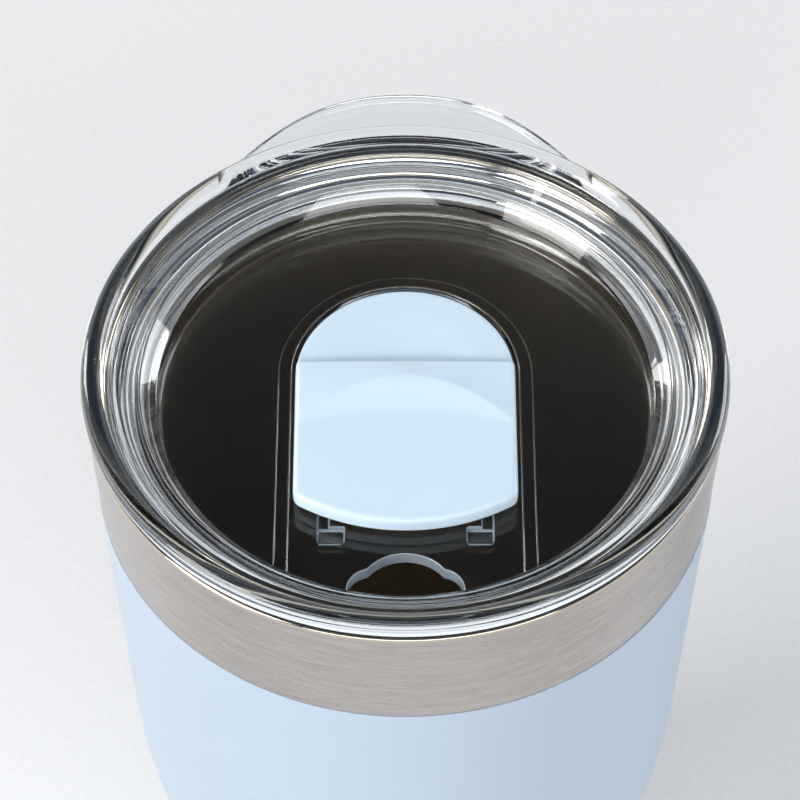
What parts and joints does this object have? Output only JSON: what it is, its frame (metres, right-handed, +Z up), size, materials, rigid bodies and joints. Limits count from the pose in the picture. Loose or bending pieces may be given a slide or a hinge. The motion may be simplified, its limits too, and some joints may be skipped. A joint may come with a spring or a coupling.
{
  "type": "insulated tumbler with slide lid",
  "caption": "Double-wall steel tumbler with a coated lower body, a clear press-in lid with thumb tab, and a sliding closure over the drinking slot.",
  "frame": {"origin": "centre of the plane that the tumbler stands on, on the body's axis", "axes": "+Z up along the body's axis, -Y towards the drinking side, +Y towards the thumb tab"},
  "size_m": [0.09, 0.097, 0.1654],
  "materials": {
    "brushed_shell": "stainless steel with fine brushing round the body",
    "coat": "pale blue powder coat, fine satin texture",
    "liner_steel": "electropolished stainless steel, satin",
    "foil": "bright foil",
    "plain_steel": "as stamped",
    "solder_glass": "dark solder glass",
    "getter_alloy": "pressed powder",
    "base_steel": "stainless steel, circular brushing",
    "clear_lid": "clear copolyester, polished",
    "silicone": "translucent silicone, satin",
    "slider_plastic": "pale blue plastic, soft satin gloss"
  },
  "bodies": {
    "tumbler": {"outer_shell": "brushed_shell", "powder_coat": "coat", "inner_liner": "liner_steel", "liner_bottom": "liner_steel", "heat_foil": "foil", "vacuum_base": "plain_steel", "vacuum_seal": "solder_glass", "getter": "getter_alloy", "getter_clip": "plain_steel", "base_cap": "base_steel"},
    "lid": {"lid_body": "clear_lid", "lid_gasket": "silicone"},
    "slider": {"slider_cover": "slider_plastic", "slider_foot": "slider_plastic", "slider_seal": "silicone"}
  },
  "joints": [
    {"name": "lid_lift", "type": "slide", "parent": "tumbler", "child": "lid", "axis": [0, 0, 1], "range_m": [0, 0.03]},
    {"name": "slider_slide", "type": "slide", "parent": "lid", "child": "slider", "axis": [0, -1, 0], "range_m": [0, 0.012]}
  ]
}
